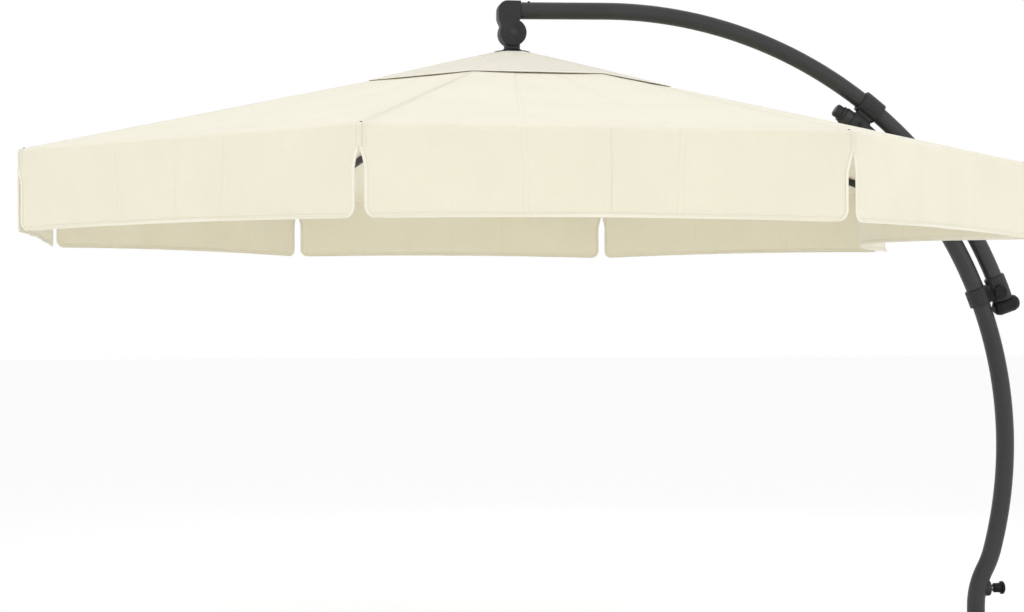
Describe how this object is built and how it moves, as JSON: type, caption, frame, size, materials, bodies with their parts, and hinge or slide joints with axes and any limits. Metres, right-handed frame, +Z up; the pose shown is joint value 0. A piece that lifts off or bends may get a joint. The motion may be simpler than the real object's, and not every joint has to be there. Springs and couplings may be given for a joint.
{
  "type": "cantilever parasol",
  "caption": "Cantilever parasol: a curved mast on a ballasted cross foot, a curved boom sliding over it, and an octagonal cloth canopy with valance that folds.",
  "frame": {"origin": "on the ground, on the mast's turning axis, under the middle of the foot", "axes": "+Z up, +X away from the canopy in the plane of the mast and boom, so the canopy hangs on the -X side; +Y to the left of +X"},
  "size_m": [4.07, 3.466, 2.7516],
  "materials": {
    "frame_coat": "satin",
    "casting": "matte",
    "black_plastic": "matte",
    "bright_steel": "satin",
    "cloth": "matte",
    "cream_plastic": "satin",
    "foot_steel": "satin",
    "concrete": "matte"
  },
  "bodies": {
    "foot": {"foot_cross": "foot_steel", "post_flange": "foot_steel", "foot_post": "foot_steel", "thrust_ring": "black_plastic", "ballast_slab_1": "concrete", "ballast_slab_2": "concrete", "ballast_slab_3": "concrete", "ballast_slab_4": "concrete"},
    "mast": {"mast_tube": "frame_coat", "mast_end_cap": "black_plastic", "pivot_bush_lower": "black_plastic", "pivot_bush_upper": "black_plastic", "lock_boss": "casting", "upper_bracket": "casting", "upper_bush": "black_plastic", "upper_clamp_bolt": "bright_steel"},
    "lock": {"lock_pin": "bright_steel", "lock_knob": "black_plastic"},
    "boom": {"boom_tube": "frame_coat", "boom_screw": "bright_steel", "carriage_bracket": "casting", "carriage_bush": "black_plastic", "grip": "black_plastic"},
    "release": {"release_disc": "black_plastic"},
    "elbow": {"elbow_cap": "casting", "knuckle_bolt": "bright_steel"},
    "hub": {"hub_knuckle": "casting", "top_plate": "black_plastic", "hub_stem": "frame_coat", "rib_crown": "black_plastic", "canopy_cover": "cloth", "vent_cap": "cloth"},
    "runner": {"strut_runner": "black_plastic", "runner_spigot": "black_plastic", "runner_cap": "black_plastic"},
    "rib_1": {"rib_1": "frame_coat", "rib_tip_1": "cream_plastic"},
    "strut_1": {"strut_1": "frame_coat"},
    "rib_2": {"rib_2": "frame_coat", "rib_tip_2": "cream_plastic"},
    "strut_2": {"strut_2": "frame_coat"},
    "rib_3": {"rib_3": "frame_coat", "rib_tip_3": "cream_plastic"},
    "strut_3": {"strut_3": "frame_coat"},
    "rib_4": {"rib_4": "frame_coat", "rib_tip_4": "cream_plastic"},
    "strut_4": {"strut_4": "frame_coat"},
    "rib_5": {"rib_5": "frame_coat", "rib_tip_5": "cream_plastic"},
    "strut_5": {"strut_5": "frame_coat"},
    "rib_6": {"rib_6": "frame_coat", "rib_tip_6": "cream_plastic"},
    "strut_6": {"strut_6": "frame_coat"},
    "rib_7": {"rib_7": "frame_coat", "rib_tip_7": "cream_plastic"},
    "strut_7": {"strut_7": "frame_coat"},
    "rib_8": {"rib_8": "frame_coat", "rib_tip_8": "cream_plastic"},
    "strut_8": {"strut_8": "frame_coat"}
  },
  "joints": [
    {"name": "mast_turn", "type": "hinge", "parent": "foot", "child": "mast", "pos_m": [0, 0, 0.034], "axis": [0, 0, 1], "continuous": true},
    {"name": "lock_pull", "type": "slide", "parent": "mast", "child": "lock", "axis": [1, 0, 0], "range_m": [0, 0.012], "stiffness_N_per_m": 400, "springref_m": -0.012},
    {"name": "boom_slide", "type": "hinge", "parent": "mast", "child": "boom", "pos_m": [-1.45, 0, 1.06], "axis": [0, 1, 0], "range_deg": [0, 34.5], "deforming": ["canopy_cover", "vent_cap"]},
    {"name": "release_turn", "type": "hinge", "parent": "boom", "child": "release", "pos_m": [0.08252, -0.0412, 1.66059], "axis": [0, 1, 0], "range_deg": [0, 90]},
    {"name": "side_tilt", "type": "hinge", "parent": "boom", "child": "elbow", "pos_m": [-1.81069, 0, 2.71281], "axis": [0.9998, 0, 0.0209], "range_deg": [-15, 15]},
    {"name": "canopy_hang", "type": "hinge", "parent": "elbow", "child": "hub", "pos_m": [-1.841, 0, 2.6266], "axis": [0, 1, 0], "range_deg": [-35, 0.5]},
    {"name": "runner_drop", "type": "slide", "parent": "hub", "child": "runner", "axis": [0, 0, -1], "range_m": [-0.002, 0.913]},
    {"name": "rib_1_fold", "type": "hinge", "parent": "hub", "child": "rib_1", "pos_m": [-1.77171, 0.0287, 2.516], "axis": [-0.3827, 0.9239, 0], "range_deg": [-0.5, 71.5]},
    {"name": "strut_1_fold", "type": "hinge", "parent": "rib_1", "child": "strut_1", "pos_m": [-1.21913, 0.25759, 2.35137], "axis": [-0.3827, 0.9239, 0], "range_deg": [-143, 1]},
    {"name": "rib_2_fold", "type": "hinge", "parent": "hub", "child": "rib_2", "pos_m": [-1.8123, 0.06929, 2.516], "axis": [-0.9239, 0.3827, 0], "range_deg": [-0.5, 71.5]},
    {"name": "strut_2_fold", "type": "hinge", "parent": "rib_2", "child": "strut_2", "pos_m": [-1.58341, 0.62187, 2.35137], "axis": [-0.9239, 0.3827, 0], "range_deg": [-143, 1]},
    {"name": "rib_3_fold", "type": "hinge", "parent": "hub", "child": "rib_3", "pos_m": [-1.8697, 0.06929, 2.516], "axis": [-0.9239, -0.3827, 0], "range_deg": [-0.5, 71.5]},
    {"name": "strut_3_fold", "type": "hinge", "parent": "rib_3", "child": "strut_3", "pos_m": [-2.09859, 0.62187, 2.35137], "axis": [-0.9239, -0.3827, 0], "range_deg": [-143, 1]},
    {"name": "rib_4_fold", "type": "hinge", "parent": "hub", "child": "rib_4", "pos_m": [-1.91029, 0.0287, 2.516], "axis": [-0.3827, -0.9239, 0], "range_deg": [-0.5, 71.5]},
    {"name": "strut_4_fold", "type": "hinge", "parent": "rib_4", "child": "strut_4", "pos_m": [-2.46287, 0.25759, 2.35137], "axis": [-0.3827, -0.9239, 0], "range_deg": [-143, 1]},
    {"name": "rib_5_fold", "type": "hinge", "parent": "hub", "child": "rib_5", "pos_m": [-1.91029, -0.0287, 2.516], "axis": [0.3827, -0.9239, 0], "range_deg": [-0.5, 71.5]},
    {"name": "strut_5_fold", "type": "hinge", "parent": "rib_5", "child": "strut_5", "pos_m": [-2.46287, -0.25759, 2.35137], "axis": [0.3827, -0.9239, 0], "range_deg": [-143, 1]},
    {"name": "rib_6_fold", "type": "hinge", "parent": "hub", "child": "rib_6", "pos_m": [-1.8697, -0.06929, 2.516], "axis": [0.9239, -0.3827, 0], "range_deg": [-0.5, 71.5]},
    {"name": "strut_6_fold", "type": "hinge", "parent": "rib_6", "child": "strut_6", "pos_m": [-2.09859, -0.62187, 2.35137], "axis": [0.9239, -0.3827, 0], "range_deg": [-143, 1]},
    {"name": "rib_7_fold", "type": "hinge", "parent": "hub", "child": "rib_7", "pos_m": [-1.8123, -0.06929, 2.516], "axis": [0.9239, 0.3827, 0], "range_deg": [-0.5, 71.5]},
    {"name": "strut_7_fold", "type": "hinge", "parent": "rib_7", "child": "strut_7", "pos_m": [-1.58341, -0.62187, 2.35137], "axis": [0.9239, 0.3827, 0], "range_deg": [-143, 1]},
    {"name": "rib_8_fold", "type": "hinge", "parent": "hub", "child": "rib_8", "pos_m": [-1.77171, -0.0287, 2.516], "axis": [0.3827, 0.9239, 0], "range_deg": [-0.5, 71.5]},
    {"name": "strut_8_fold", "type": "hinge", "parent": "rib_8", "child": "strut_8", "pos_m": [-1.21913, -0.25759, 2.35137], "axis": [0.3827, 0.9239, 0], "range_deg": [-143, 1]}
  ],
  "couplings": [
    {"joint": "canopy_hang", "follows": "boom_slide", "ratio": -1},
    {"joint": "runner_drop", "follows": "boom_slide", "m_per_rad": 1.5096},
    {"joint": "rib_1_fold", "follows": "boom_slide", "ratio": 2.058},
    {"joint": "strut_1_fold", "follows": "boom_slide", "ratio": -4.1159},
    {"joint": "rib_2_fold", "follows": "boom_slide", "ratio": 2.058},
    {"joint": "strut_2_fold", "follows": "boom_slide", "ratio": -4.1159},
    {"joint": "rib_3_fold", "follows": "boom_slide", "ratio": 2.058},
    {"joint": "strut_3_fold", "follows": "boom_slide", "ratio": -4.1159},
    {"joint": "rib_4_fold", "follows": "boom_slide", "ratio": 2.058},
    {"joint": "strut_4_fold", "follows": "boom_slide", "ratio": -4.1159},
    {"joint": "rib_5_fold", "follows": "boom_slide", "ratio": 2.058},
    {"joint": "strut_5_fold", "follows": "boom_slide", "ratio": -4.1159},
    {"joint": "rib_6_fold", "follows": "boom_slide", "ratio": 2.058},
    {"joint": "strut_6_fold", "follows": "boom_slide", "ratio": -4.1159},
    {"joint": "rib_7_fold", "follows": "boom_slide", "ratio": 2.058},
    {"joint": "strut_7_fold", "follows": "boom_slide", "ratio": -4.1159},
    {"joint": "rib_8_fold", "follows": "boom_slide", "ratio": 2.058},
    {"joint": "strut_8_fold", "follows": "boom_slide", "ratio": -4.1159}
  ]
}
